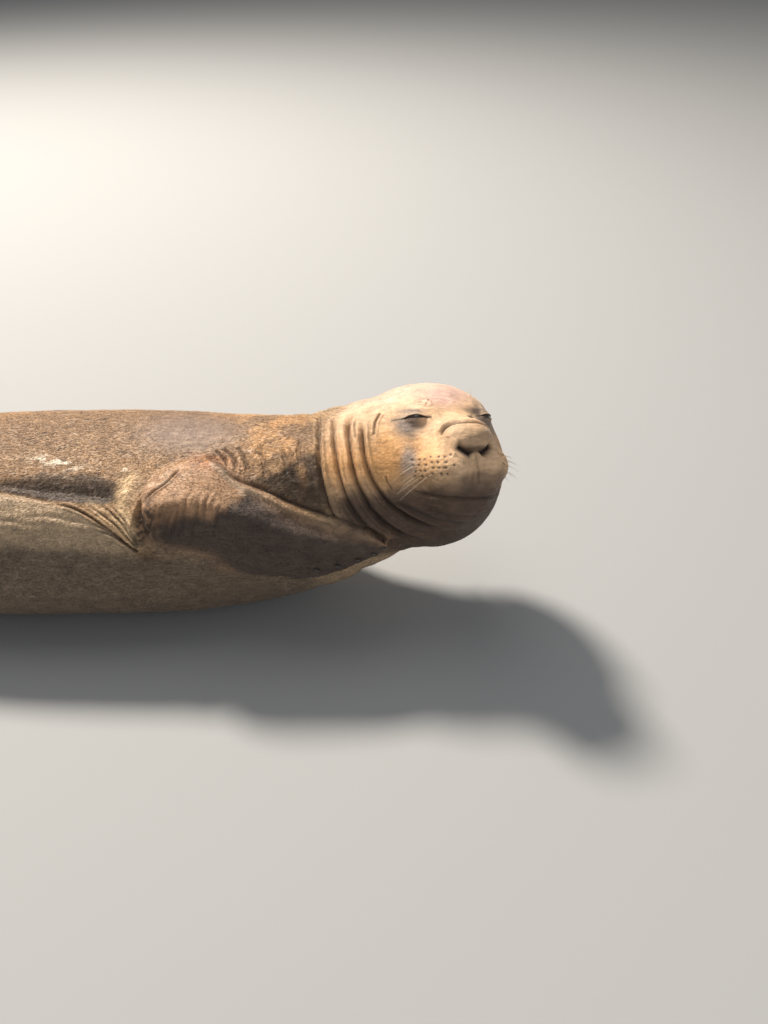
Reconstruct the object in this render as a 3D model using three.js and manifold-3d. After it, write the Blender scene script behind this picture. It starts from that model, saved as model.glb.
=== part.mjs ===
// Elephant seal, a young adult at life size, lying on its left and ventral side with
// the head turned to its right and the right fore flipper folded forward over the chest.
// Millimetres, +Z up. The model is laid out with +X from tail to head, +Y to the
// animal's far (left) side and the floor at Z = 0, then centred on its own footprint.
import * as THREE from "three";
import { mergeVertices } from "three/addons/utils/BufferGeometryUtils.js";
import Module from "manifold-3d";

const wasm = await Module();
wasm.setup();

// ---------- driving dimensions ----------
const GAP = 0.35; // between neighbouring solids
const FLOOR_SINK = 6; // how far the soft belly is pressed flat on the floor
const FOLD_DEPTH = 13; // neck rolls
const EYE_RADIUS = 34;
const BLEND = 42; // soft union of the masses of the head

// Stations of the body, tail to head: centre x, y, z; half width; half height up; half height down.
const STATIONS = {
  tail_end: [-2575, 2022, 92, 26, 22, 24],
  tail_root: [-2500, 2016, 98, 60, 50, 56],
  ankle: [-2400, 2008, 110, 104, 84, 92],
  pelvis: [-2150, 1986, 158, 186, 146, 158],
  rump: [-1850, 1962, 208, 262, 204, 212],
  loin: [-1500, 1943, 240, 322, 246, 246],
  waist: [-1174, 1932, 252, 352, 262, 258],
  chest: [-820, 1924, 262, 352, 268, 268],
  shoulder: [-560, 1908, 280, 322, 266, 286],
  neck_base: [-370, 1878, 322, 276, 246, 290],
  neck: [-200, 1846, 372, 244, 228, 262],
  nape: [-40, 1842, 424, 222, 226, 224],
  atlas: [90, 1850, 468, 194, 222, 190],
};
// Head frame: origin in the middle of the skull, nose direction and crown direction.
const HEAD_AT = new THREE.Vector3(129, 1846, 470);
const NOSE_DIR = new THREE.Vector3(0.376, -0.65, 0.661).normalize();
const LEFT_DIR = new THREE.Vector3(0.93, 0.3385, -0.2).normalize();

// Masses of the head in its frame: forward, left, up; radii the same way.
// A mass with a left offset has its mirror twin.
const HEAD_MASSES = {
  skull: [[-16, 0, 46], [208, 196, 192]],
  forehead: [[62, 0, 104], [112, 124, 98]],
  cheek: [[28, 84, -24], [142, 106, 128]],
  throat: [[-6, 0, -98], [166, 166, 128]],
  snout: [[132, 0, 8], [124, 102, 96]],
  nose_bulb: [[226, 0, 32], [56, 56, 48]],
  whisker_pad: [[208, 50, -42], [64, 58, 60]],
  chin: [[160, 0, -112], [92, 84, 66]],
  brow: [[92, 72, 120], [58, 50, 38]],
};
const EYE_AT = [124, 84, 93]; // where the eye opens, forward, left and up
const EYE_PROUD = 5; // how far the ball stands out of the face
const PART_HEAD = -112; // the plane behind the cheeks

// ---------- frames ----------
const UP_DIR = new THREE.Vector3().crossVectors(NOSE_DIR, LEFT_DIR).normalize();
LEFT_DIR.crossVectors(UP_DIR, NOSE_DIR).normalize();
const headPoint = (f, l, u) =>
  HEAD_AT.clone().addScaledVector(NOSE_DIR, f).addScaledVector(LEFT_DIR, l).addScaledVector(UP_DIR, u);

const names = Object.keys(STATIONS);
const table = Object.values(STATIONS);
const last = table.length - 1;
const spine = new THREE.CatmullRomCurve3(table.map((s) => new THREE.Vector3(s[0], s[1], s[2])), false, "centripetal");
// A value of the table between stations, by a smooth cubic through the neighbours.
function lookup(t, column) {
  const x = THREE.MathUtils.clamp(t, 0, 1) * last;
  const i = Math.min(Math.floor(x), last - 1);
  const w = x - i;
  const p = (k) => table[THREE.MathUtils.clamp(k, 0, last)][column];
  const [a, b, c, d] = [p(i - 1), p(i), p(i + 1), p(i + 2)];
  return b + 0.5 * w * (c - a + w * (2 * a - 5 * b + 4 * c - d + w * (3 * (b - c) + d - a)));
}
const at = (name) => names.indexOf(name) / last;
const SAMPLES = 260;
const frames = [];
for (let i = 0; i <= SAMPLES; i++) {
  const t = i / SAMPLES;
  const point = spine.getPoint(t);
  const tangent = spine.getTangent(t);
  const hint = new THREE.Vector3(0, 0, 1).lerp(UP_DIR, THREE.MathUtils.smoothstep(t, at("neck_base"), at("atlas")));
  const up = hint.addScaledVector(tangent, -hint.dot(tangent)).normalize();
  const side = new THREE.Vector3().crossVectors(up, tangent).normalize();
  frames.push({ t, point, tangent, up, side, wide: lookup(t, 3), high: lookup(t, 4), low: lookup(t, 5) });
}
const mix = (a, b, w) => a + (b - a) * w;
function frameAt(t) {
  const x = THREE.MathUtils.clamp(t, 0, 1) * SAMPLES;
  const i = Math.min(Math.floor(x), SAMPLES - 1);
  const w = x - i;
  const [a, b] = [frames[i], frames[i + 1]];
  return {
    t,
    point: a.point.clone().lerp(b.point, w),
    tangent: a.tangent.clone().lerp(b.tangent, w).normalize(),
    up: a.up.clone().lerp(b.up, w).normalize(),
    side: a.side.clone().lerp(b.side, w).normalize(),
    wide: mix(a.wide, b.wide, w),
    high: mix(a.high, b.high, w),
    low: mix(a.low, b.low, w),
  };
}

// ---------- the shape as a distance ----------
const softMin = (a, b, k) => {
  const h = Math.max(k - Math.abs(a - b), 0) / k;
  return Math.min(a, b) - (h * h * k) / 4;
};
function ellipsoid(x, y, z, r) {
  const k0 = Math.hypot(x / r[0], y / r[1], z / r[2]);
  const k1 = Math.hypot(x / (r[0] * r[0]), y / (r[1] * r[1]), z / (r[2] * r[2]));
  return k1 < 1e-9 ? -Math.min(...r) : (k0 * (k0 - 1)) / k1;
}
// Outer radius of the trunk and neck at angle a from the up direction towards the side.
function sectionRadius(f, a) {
  const c = Math.cos(a), s = Math.sin(a);
  const high = c > 0 ? f.high : f.low;
  const n = 2.15;
  let r = Math.pow(Math.pow(Math.abs(c) / high, n) + Math.pow(Math.abs(s) / f.wide, n), -1 / n);
  // Flank groove between the flank and the roll of the belly, on the near side.
  const groove = Math.exp(-Math.pow((a + 1.17) / 0.16, 2)) * THREE.MathUtils.smoothstep(f.t, at("rump"), at("waist")) * (1 - THREE.MathUtils.smoothstep(f.t, at("chest") - 0.02, at("shoulder") - 0.02));
  r -= 15 * groove;
  // Rolls of the neck, deepest towards the inside of the bend.
  const x = (f.t - at("neck_base")) / (at("atlas") - at("neck_base"));
  if (x > 0) {
    const near = 0.5 + 0.5 * Math.cos(a + 1.75);
    const wave = Math.abs(Math.sin(Math.PI * (x * 4.2 + 0.18 * Math.cos(a))));
    r -= FOLD_DEPTH * (0.12 + 0.88 * near) * Math.pow(1 - wave, 2) * THREE.MathUtils.smoothstep(x, 0.02, 0.4);
  }
  return r;
}
function bodyDistance(p) {
  let best = 1e12, k = 0;
  for (let i = 0; i <= SAMPLES; i += 4) {
    const d = p.distanceToSquared(frames[i].point);
    if (d < best) { best = d; k = i; }
  }
  for (let i = Math.max(0, k - 4); i <= Math.min(SAMPLES, k + 4); i++) {
    const d = p.distanceToSquared(frames[i].point);
    if (d < best) { best = d; k = i; }
  }
  const rel = p.clone().sub(frames[k].point);
  const step = spine.getLength() / SAMPLES;
  const f = frameAt(frames[k].t + THREE.MathUtils.clamp(rel.dot(frames[k].tangent) / step, -1, 1) / SAMPLES);
  const q = p.clone().sub(f.point);
  const past = q.dot(f.tangent);
  const radial = Math.hypot(q.dot(f.up), q.dot(f.side));
  const r = sectionRadius(f, Math.atan2(q.dot(f.side), q.dot(f.up)));
  if (Math.abs(past) < 2) return radial - r;
  return Math.hypot(radial, past * (r / (r * 0.8))) - r;
}
function headDistance(p) {
  const q = p.clone().sub(HEAD_AT);
  const [f, l, u] = [q.dot(NOSE_DIR), q.dot(LEFT_DIR), q.dot(UP_DIR)];
  let d = 1e9;
  for (const [c, r] of Object.values(HEAD_MASSES)) d = softMin(d, ellipsoid(f - c[0], Math.abs(l) - c[1], u - c[2], r), BLEND);
  return d;
}
const distance = (p) => softMin(bodyDistance(p), headDistance(p), 30);

// The outermost surface along a ray from a point inside.
function surfaceFrom(origin, direction, reach) {
  const p = new THREE.Vector3();
  let s = reach;
  while (s > 12 && distance(p.copy(origin).addScaledVector(direction, s)) > 0) s -= 12;
  let inside = s, outside = Math.min(s + 12, reach);
  for (let i = 0; i < 9; i++) {
    const m = (inside + outside) / 2;
    if (distance(p.copy(origin).addScaledVector(direction, m)) > 0) outside = m; else inside = m;
  }
  return p.copy(origin).addScaledVector(direction, inside).clone();
}
// The first surface along a ray from a point inside.
function surfaceAlong(origin, direction, reach) {
  const p = new THREE.Vector3();
  let inside = 0, outside = reach;
  for (let s = 12; s <= reach; s += 12) {
    if (distance(p.copy(origin).addScaledVector(direction, s)) > 0) { outside = s; break; }
    inside = s;
  }
  for (let i = 0; i < 9; i++) {
    const m = (inside + outside) / 2;
    if (distance(p.copy(origin).addScaledVector(direction, m)) > 0) outside = m; else inside = m;
  }
  return p.copy(origin).addScaledVector(direction, (inside + outside) / 2).clone();
}

// ---------- meshes and solids ----------
function solid(geometry) {
  const g = geometry.clone();
  g.deleteAttribute("normal");
  g.deleteAttribute("uv");
  const m = mergeVertices(g, 0.02);
  let tri = Array.from(m.index.array);
  const keep = [];
  for (let i = 0; i < tri.length; i += 3) if (tri[i] !== tri[i + 1] && tri[i + 1] !== tri[i + 2] && tri[i] !== tri[i + 2]) keep.push(tri[i], tri[i + 1], tri[i + 2]);
  const make = (t) => new wasm.Manifold(new wasm.Mesh({ numProp: 3, vertProperties: m.attributes.position.array, triVerts: new Uint32Array(t) }));
  let made = make(keep);
  if (made.volume() < 0) {
    for (let i = 0; i < keep.length; i += 3) [keep[i + 1], keep[i + 2]] = [keep[i + 2], keep[i + 1]];
    made = make(keep);
  }
  return made;
}
function geometryOf(s) {
  const m = s.getMesh();
  return new THREE.BufferGeometry()
    .setAttribute("position", new THREE.BufferAttribute(Float32Array.from(m.vertProperties), 3))
    .setIndex(new THREE.BufferAttribute(Uint32Array.from(m.triVerts), 1));
}
// A sphere whose rows and columns are carried to map(row 0..1, column 0..1).
function mappedSphere(columns, rows, map) {
  const g = new THREE.SphereGeometry(1, columns, rows);
  const { position, uv } = g.attributes;
  const v = new THREE.Vector3();
  for (let i = 0; i < position.count; i++) {
    const row = Math.floor(i / (columns + 1)) / rows, col = (i % (columns + 1)) / columns;
    map(row, row === 0 || row === 1 ? 0 : col % 1, v);
    position.setXYZ(i, v.x, v.y, v.z);
  }
  return g;
}
function block(size, centre, forward, up) {
  const g = new THREE.BoxGeometry(size[0], size[1], size[2]);
  const x = forward.clone().normalize();
  const y = new THREE.Vector3().crossVectors(up, x).normalize();
  const z = new THREE.Vector3().crossVectors(x, y);
  g.applyMatrix4(new THREE.Matrix4().makeBasis(x, y, z).setPosition(centre));
  return solid(g);
}
const above = block([6000, 4000, 2000], new THREE.Vector3(-1000, 1800, 1000), new THREE.Vector3(1, 0, 0), new THREE.Vector3(0, 0, 1));

// Trunk and neck: rings round the spine, closed at both ends by the last stations.
const RINGS = [
  [0, at("tail_root"), 2],
  [at("tail_root"), at("pelvis"), 4],
  [at("pelvis"), at("shoulder"), 13],
  [at("shoulder"), at("neck_base"), 4],
  [at("neck_base"), 1, 21],
];
const ringT = [0];
for (const [a, b, n] of RINGS) for (let i = 1; i <= n; i++) ringT.push(a + ((b - a) * i) / n);
const AROUND = 30;
const rowsBody = ringT.length + 1;
// The same surface can be asked for a little larger, which makes the room between solids.
const bodyGeometry = (grow) => mappedSphere(AROUND, rowsBody, (row, col, out) => {
  const k = Math.round(row * rowsBody);
  const end = k === 0 ? 0 : k === rowsBody ? 1 : ringT[k - 1];
  const f = frameAt(end);
  if (k === 0 || k === rowsBody) out.copy(f.point).addScaledVector(f.tangent, k ? 20 + grow : -24 - grow);
  else {
    const a = col * Math.PI * 2;
    const dir = f.up.clone().multiplyScalar(Math.cos(a)).addScaledVector(f.side, Math.sin(a));
    const r = end > at("neck_base") ? Math.min(surfaceAlong(f.point, dir, 520).distanceTo(f.point), 400) : sectionRadius(f, a);
    out.copy(f.point).addScaledVector(dir, r + grow);
  }
  out.z -= FLOOR_SINK;
});
// Head: rays in all directions from a hub in the root of the snout.
const hub = headPoint(62, 0, -40);
const headGeometry = (grow) => mappedSphere(36, 26, (row, col, out) => {
  const polar = Math.PI * Math.pow(row, 1.2);
  const a = col * Math.PI * 2;
  const dir = NOSE_DIR.clone().multiplyScalar(Math.cos(polar))
    .addScaledVector(UP_DIR, Math.sin(polar) * Math.cos(a))
    .addScaledVector(LEFT_DIR, Math.sin(polar) * Math.sin(a));
  out.copy(surfaceFrom(hub, dir, 420)).addScaledVector(dir, grow);
  out.z -= FLOOR_SINK;
});
const bodyWhole = solid(bodyGeometry(0)).intersect(above);
const headWhole = solid(headGeometry(0));

// The head is parted from the neck behind the cheeks.
const sunk = (v) => v.clone().setZ(v.z - FLOOR_SINK);
const partDir = NOSE_DIR.clone().add(frameAt(at("atlas")).tangent).normalize();
const behindHead = (shift) => block([5000, 8000, 8000], sunk(HEAD_AT.clone().addScaledVector(partDir, PART_HEAD + shift - 2500)), partDir, UP_DIR);
const flesh = { head: headWhole.subtract(behindHead(GAP / 2)) };
let rest = bodyWhole.intersect(behindHead(-GAP / 2));

// The rest of the body is parted by thin cuts across the spine.
function slab(t) {
  const f = frameAt(t);
  return block([GAP, 1100, 1100], sunk(f.point), f.tangent, f.up);
}
for (const c of ["neck_base", "waist", "pelvis", "tail_root"]) rest = rest.subtract(slab(at(c)));
const centreX = (s) => s.boundingBox().min[0] + s.boundingBox().max[0];
const pieces = rest.decompose().filter((s) => s.volume() > 2000).sort((a, b) => centreX(a) - centreX(b));
const PIECES = ["tail", "pelvis", "trunk", "chest", "neck"];
if (pieces.length !== PIECES.length) throw new Error("the body was parted into " + pieces.length);
PIECES.forEach((n, i) => (flesh[n] = pieces[i]));

// ---------- flippers ----------
// A flipper is a paddle: a line from root to tip, with its chord ahead (lead) and behind
// (trail), and half thickness at named places. The two halves of the chord have their own
// directions, so that a blade can lie bent over the chest. Lobes scallop the far edge.
const V = (x, y, z) => new THREE.Vector3(x, y, z);
const FLIPPERS = {
  fore_flipper_right: {
    lead: V(0.18, 0.74, 0.62), trail: V(-0.04, -0.12, -0.98), lobes: 0, notch: 0,
    places: [
      { at: [-617, 1668, 428], lead: 112, trail: 150, thick: 66 },
      { at: [-552, 1664, 446], lead: 138, trail: 176, thick: 68 },
      { at: [-485, 1656, 456], lead: 154, trail: 184, thick: 58 },
      { at: [-419, 1636, 450], lead: 138, trail: 180, thick: 46 },
      { at: [-353, 1618, 436], lead: 124, trail: 166, thick: 37 },
      { at: [-286, 1602, 422], lead: 112, trail: 150, thick: 30 },
      { at: [-222, 1594, 405], lead: 98, trail: 132, thick: 25 },
      { at: [-156, 1592, 390], lead: 78, trail: 110, thick: 21 },
      { at: [-95, 1596, 378], lead: 56, trail: 78, thick: 18 },
      { at: [-37, 1604, 370], lead: 34, trail: 40, thick: 14 },
      { at: [10, 1616, 366], lead: 14, trail: 16, thick: 8 },
    ],
    claws: [[0.97, 0.05], [0.92, 0.5], [0.85, 0.6], [0.77, 0.66], [0.69, 0.7]],
  },
  fore_flipper_left: {
    lead: V(1, 0.32, 0.1), trail: V(-1, -0.32, -0.02), lobes: 0, notch: 0,
    places: [
      { at: [-600, 2030, 112], lead: 90, trail: 90, thick: 60 },
      { at: [-610, 2130, 92], lead: 100, trail: 100, thick: 58 },
      { at: [-640, 2240, 62], lead: 104, trail: 100, thick: 42 },
      { at: [-690, 2360, 34], lead: 92, trail: 86, thick: 27 },
      { at: [-755, 2470, 17], lead: 62, trail: 58, thick: 18 },
      { at: [-810, 2545, 10], lead: 30, trail: 26, thick: 11 },
      { at: [-835, 2580, 7], lead: 8, trail: 8, thick: 6 },
    ],
    claws: [[0.97, 0.05], [0.92, 0.5], [0.85, 0.6], [0.77, 0.66], [0.69, 0.7]],
  },
  hind_flipper_right: {
    lead: V(0.1, -0.9, 0.3), trail: V(-0.1, 0.9, -0.02), lobes: 1, notch: 95,
    places: [
      { at: [-2380, 1950, 100], lead: 72, trail: 60, thick: 62 },
      { at: [-2480, 1920, 80], lead: 70, trail: 58, thick: 48 },
      { at: [-2590, 1888, 52], lead: 76, trail: 60, thick: 27 },
      { at: [-2700, 1858, 30], lead: 100, trail: 78, thick: 17 },
      { at: [-2810, 1832, 14], lead: 122, trail: 96, thick: 10 },
      { at: [-2890, 1812, 6], lead: 128, trail: 104, thick: 7 },
    ],
  },
  hind_flipper_left: {
    lead: V(0.25, 0.95, 0.12), trail: V(-0.2, -0.95, -0.02), lobes: 1, notch: 95,
    places: [
      { at: [-2380, 2078, 96], lead: 72, trail: 58, thick: 62 },
      { at: [-2480, 2110, 76], lead: 70, trail: 56, thick: 46 },
      { at: [-2585, 2146, 48], lead: 74, trail: 58, thick: 26 },
      { at: [-2690, 2182, 27], lead: 98, trail: 76, thick: 16 },
      { at: [-2795, 2216, 13], lead: 120, trail: 94, thick: 10 },
      { at: [-2870, 2240, 6], lead: 126, trail: 102, thick: 7 },
    ],
  },
};
function paddleAt(f, t, a, out) {
  const n = f.places.length - 1;
  f.line = f.line || new THREE.CatmullRomCurve3(f.places.map((p) => V(...p.at)), false, "centripetal");
  const value = (key) => {
    const x = THREE.MathUtils.clamp(t, 0, 1) * n, i = Math.min(Math.floor(x), n - 1), w = x - i;
    return mix(f.places[i][key], f.places[i + 1][key], w);
  };
  const p = f.line.getPoint(t), tangent = f.line.getTangent(t);
  const square = (v) => v.clone().addScaledVector(tangent, -v.dot(tangent)).normalize();
  const c = Math.cos(a), s = Math.sin(a);
  const chord = square(c > 0 ? f.lead : f.trail);
  const flat = new THREE.Vector3().crossVectors(square(f.lead).sub(square(f.trail)).normalize(), tangent);
  const half = value(c > 0 ? "lead" : "trail");
  const body = value("thick") * s * (0.5 + 0.5 * Math.abs(s));
  out.copy(p).addScaledVector(chord, half * Math.abs(c)).addScaledVector(flat, body);
  // The far edge: outer lobes long, middle notched.
  const far = THREE.MathUtils.smoothstep(t, 0.5, 1);
  if (f.notch) out.addScaledVector(tangent, -f.notch * far * (1 - c * c) + (c > 0 ? 26 : -6) * far * Math.abs(c));
  return out;
}
function paddle(f, columns, rows, grow) {
  return mappedSphere(columns, rows, (row, col, out) => {
    const t = THREE.MathUtils.clamp((row * rows - 1) / (rows - 2), 0, 1);
    if (row === 0 || row === 1) {
      const a = paddleAt(f, t, 0, V()), b = paddleAt(f, t, Math.PI, V());
      const mid = paddleAt(f, t, Math.PI / 2, V()).add(paddleAt(f, t, -Math.PI / 2, V())).multiplyScalar(0.5);
      out.copy(f.notch && row === 1 ? mid : a.add(b).multiplyScalar(0.5)).addScaledVector(f.line.getTangent(t), row === 0 ? -8 - grow : 7 + grow);
      return;
    }
    const a = col * Math.PI * 2;
    paddleAt(f, t, a, out);
    if (grow) out.addScaledVector(out.clone().sub(f.line.getPoint(t)).normalize(), grow * 2.2);
  });
}
const round = [solid(bodyGeometry(GAP)), solid(headGeometry(GAP))];
const limbs = {}, claws = {};
for (const [name, f] of Object.entries(FLIPPERS)) {
  let limb = solid(paddle(f, 14, 14, 0)).intersect(above);
  for (const r of round) limb = limb.subtract(r);
  limb = limb.decompose().sort((a, b) => b.volume() - a.volume())[0];
  (f.claws || []).forEach(([t, c], i) => {
    // A nail lies on the upper face, near the end of its digit.
    const a = Math.acos(-c) , p = paddleAt(f, t, a, V()), q = paddleAt(f, t, -a, V());
    const top = name.endsWith("right") ? (p.y < q.y ? p : q) : (p.z > q.z ? p : q);
    const along = f.line.getTangent(t), inward = paddleAt(f, t, Math.PI / 2, V()).sub(paddleAt(f, t, -Math.PI / 2, V())).normalize();
    const nail = (g) => {
      const geometry = new THREE.SphereGeometry(1, 6, 5).scale(13 + g, 4.5 + g, 4 + g);
      const x = along.clone().addScaledVector(f.trail, 0.35 * c).normalize(), z = inward.clone().addScaledVector(x, -inward.dot(x)).normalize();
      geometry.applyMatrix4(new THREE.Matrix4().makeBasis(x, new THREE.Vector3().crossVectors(z, x), z).setPosition(top));
      return solid(geometry);
    };
    claws[name.replace("fore_flipper", "claw") + "_" + (i + 1)] = nail(0).intersect(above);
    limb = limb.subtract(nail(GAP));
  });
  limbs[name] = limb.decompose().sort((a, b) => b.volume() - a.volume())[0];
}

// ---------- eyes ----------
const eyes = {};
for (const [name, side] of [["eye_left", 1], ["eye_right", -1]]) {
  const inner = headPoint(EYE_AT[0] - 90, EYE_AT[1] * 0.45 * side, EYE_AT[2] * 0.55);
  const dir = headPoint(EYE_AT[0], EYE_AT[1] * side, EYE_AT[2]).sub(inner).normalize();
  const centre = sunk(surfaceAlong(inner, dir, 300).addScaledVector(dir, EYE_PROUD - EYE_RADIUS));
  const ball = (r) => solid(new THREE.SphereGeometry(r, 16, 10).translate(centre.x, centre.y, centre.z));
  eyes[name] = ball(EYE_RADIUS);
  flesh.head = flesh.head.subtract(ball(EYE_RADIUS + GAP));
}

// ---------- colours and assembly ----------
const SKIN = { head: 0xc9ab84, neck: 0xa58a6a, chest: 0x8c7358, trunk: 0x8a7154, pelvis: 0x7f6a50, tail: 0x6f5d48 };
const seal = new THREE.Group();
for (const [name, s] of Object.entries({ ...flesh, ...limbs, ...eyes, ...claws })) {
  const look = name.startsWith("eye") ? [0x120d0a, 0.15] : name.startsWith("claw") ? [0x1d1815, 0.4] : [SKIN[name] || 0x5a4f45, 0.66];
  const mesh = new THREE.Mesh(geometryOf(s), new THREE.MeshStandardMaterial({ color: look[0], roughness: look[1], metalness: 0 }));
  mesh.name = name;
  seal.add(mesh);
}
// The origin is under the middle of the whole animal, on the floor.
const bounds = new THREE.Box3().setFromObject(seal);
const middle = bounds.getCenter(new THREE.Vector3());
seal.position.set(-Math.round(middle.x), -Math.round(middle.y), -bounds.min.z);

export default seal;
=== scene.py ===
import math
import bpy
import numpy as np
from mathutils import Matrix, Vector
from mathutils.bvhtree import BVHTree


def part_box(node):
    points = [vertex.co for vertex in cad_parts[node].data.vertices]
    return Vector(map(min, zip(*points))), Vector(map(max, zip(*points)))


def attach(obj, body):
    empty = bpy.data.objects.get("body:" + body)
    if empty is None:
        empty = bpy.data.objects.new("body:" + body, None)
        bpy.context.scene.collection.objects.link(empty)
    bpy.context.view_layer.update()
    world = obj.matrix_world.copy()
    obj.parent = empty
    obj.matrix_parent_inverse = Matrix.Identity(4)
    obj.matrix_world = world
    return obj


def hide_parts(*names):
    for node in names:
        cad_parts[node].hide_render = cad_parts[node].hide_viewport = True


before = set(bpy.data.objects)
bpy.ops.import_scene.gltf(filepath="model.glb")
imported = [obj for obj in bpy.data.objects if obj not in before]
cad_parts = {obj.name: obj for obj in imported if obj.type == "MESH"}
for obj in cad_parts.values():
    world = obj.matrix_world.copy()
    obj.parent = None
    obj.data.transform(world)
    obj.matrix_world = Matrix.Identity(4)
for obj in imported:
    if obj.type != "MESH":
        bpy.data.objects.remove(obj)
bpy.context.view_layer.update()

rng = np.random.default_rng(7)
scene = bpy.context.scene

# ------------------------------------------------------------------ camera
# The layout frame of the animal (tail to head along +X, floor at 0) is shifted by OFF
# to the part's own frame, in metres.
OFF = np.array([1.288, -2.076, 0.0])
CAM = np.array([0.0, 0.0, 1.745]) + OFF
PITCH = math.radians(38.0)
FOCAL = 800.0
cam_data = bpy.data.cameras.new("camera")
cam_data.sensor_width = 36.0
cam_data.lens = FOCAL / 1024.0 * 36.0
cam_data.clip_end = 200.0
cam = bpy.data.objects.new("camera", cam_data)
cam.location = CAM
cam.rotation_euler = (math.pi / 2 - PITCH, 0.0, 0.0)
scene.collection.objects.link(cam)
scene.camera = cam
FWD = np.array([0.0, math.cos(PITCH), -math.sin(PITCH)])
CUP = np.array([0.0, math.sin(PITCH), math.cos(PITCH)])


def project(p):
    q = p - CAM
    z = q @ FWD
    return 384 + FOCAL * q[:, 0] / z, 512 - FOCAL * (q @ CUP) / z, z


def ramp(x, a, b):
    t = np.clip((x - a) / (b - a), 0.0, 1.0)
    return t * t * (3 - 2 * t)


def unit(v):
    v = np.asarray(v, float)
    return v / np.maximum(np.linalg.norm(v, axis=-1, keepdims=True), 1e-12)


# ------------------------------------------------------------------ head frame
HEAD_AT = np.array([0.129, 1.846, 0.464]) + OFF
NOSE = unit([0.376, -0.65, 0.661])
LEFT = unit([0.93, 0.3385, -0.2])
UP = unit(np.cross(NOSE, LEFT))
LEFT = unit(np.cross(UP, NOSE))


def head_coords(p):
    q = p - HEAD_AT
    return q @ NOSE, q @ LEFT, q @ UP


def mirrored(p, n):
    """Where a point of the head falls in the picture once carried to the right half, about the leaning midline
    of the snout, with how far it faces the camera there and its distance from the midline."""
    f, l, u = head_coords(p)
    lean = 0.22 * np.clip(u + 0.025, -0.03, 0.14) * ramp(f, 0.10, 0.19)
    lf = l + lean
    q = HEAD_AT + f[:, None] * NOSE + (-np.abs(lf) - lean)[:, None] * LEFT + u[:, None] * UP
    m = n - np.where(lf > 0, 2 * (n @ LEFT), 0)[:, None] * LEFT
    x, y, _ = project(q)
    return x, y, ((CAM - q) * m).sum(1) / np.linalg.norm(CAM - q, axis=1), lf


# ------------------------------------------------------------------ skin base
FLESH = ["head", "neck", "chest", "trunk", "pelvis", "tail",
         "fore_flipper_right", "fore_flipper_left", "hind_flipper_right", "hind_flipper_left"]


def mesh_arrays(me):
    v = np.empty(len(me.vertices) * 3)
    me.vertices.foreach_get("co", v)
    me.calc_loop_triangles()
    t = np.empty(len(me.loop_triangles) * 3, dtype=np.int64)
    me.loop_triangles.foreach_get("vertices", t)
    return v.reshape(-1, 3), t.reshape(-1, 3)


def new_mesh(name, v, f):
    me = bpy.data.meshes.new(name)
    v = np.ascontiguousarray(v, dtype=np.float32)
    f = np.ascontiguousarray(f, dtype=np.int32)
    k = f.shape[1]
    me.vertices.add(len(v))
    me.vertices.foreach_set("co", v.ravel())
    me.loops.add(f.size)
    me.loops.foreach_set("vertex_index", f.ravel())
    me.polygons.add(len(f))
    me.polygons.foreach_set("loop_start", np.arange(0, f.size, k, dtype=np.int32))
    me.update(calc_edges=True)
    me.validate()
    return me


def new_object(name, me):
    ob = bpy.data.objects.new(name, me)
    scene.collection.objects.link(ob)
    return ob


vs, ts, owner, base = [], [], [], 0
for i, n in enumerate(FLESH + ["eye_right", "eye_left"]):
    v, t = mesh_arrays(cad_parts[n].data)
    vs.append(v)
    ts.append(t + base)
    owner.append(np.full(len(t), i if i < len(FLESH) else 0))
    base += len(v)
cad_v, cad_t, owner = np.concatenate(vs), np.concatenate(ts), np.concatenate(owner)
rough = new_object("rough", new_mesh("rough", cad_v, cad_t))
mod = rough.modifiers.new("r", "REMESH")
mod.mode = "VOXEL"
mod.voxel_size = 0.0072
dg = bpy.context.evaluated_depsgraph_get()
done = bpy.data.meshes.new_from_object(rough.evaluated_get(dg))
V, T = mesh_arrays(done)
bpy.data.objects.remove(rough)
tree = BVHTree.FromPolygons([tuple(c) for c in cad_v], [tuple(int(i) for i in t) for t in cad_t])
label = np.array([owner[tree.find_nearest(Vector(p))[2]] for p in V])
MASKS = np.zeros((len(V), len(FLESH)))
MASKS[np.arange(len(V)), label] = 1.0


def edges_of(t):
    e = np.concatenate([t[:, [0, 1]], t[:, [1, 2]], t[:, [2, 0]]])
    e.sort(axis=1)
    key = e[:, 0] * (int(t.max()) + 1) + e[:, 1]
    _, first, inverse = np.unique(key, return_index=True, return_inverse=True)
    return e[first], inverse


def smoother(t, n):
    e, _ = edges_of(t)
    a = np.concatenate([e[:, 0], e[:, 1]])
    b = np.concatenate([e[:, 1], e[:, 0]])
    count = np.bincount(a, minlength=n)

    def mean(x):
        return np.stack([np.bincount(a, weights=x[b, k], minlength=n) for k in range(x.shape[1])], 1) / count[:, None]
    return mean


def smooth(v, mean, weight, rounds):
    for i in range(rounds):
        for lam in (0.6, -0.615):
            v = v + (mean(v) - v) * (lam * weight)[:, None]
    return v


mean = smoother(T, len(V))
for i in range(10):
    MASKS = mean(MASKS)
flip = MASKS[:, 6:].sum(1)
headish = MASKS[:, 0]
flat = ramp(V[:, 2], 0.003, 0.02)
weight = np.clip(1.0 - 0.45 * headish - 0.5 * flip, 0.2, 1.0) * np.clip(flat, 0.15, 1)
V = smooth(V, mean, weight, 34)
V = V + (mean(V) - V) * 0.5
V = V + (mean(V) - V) * 0.5


def normals(v, t):
    n = np.cross(v[t[:, 1]] - v[t[:, 0]], v[t[:, 2]] - v[t[:, 0]])
    out = np.stack([np.bincount(t.ravel(), weights=np.repeat(n[:, k], 3), minlength=len(v)) for k in range(3)], 1)
    return unit(out)


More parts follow.
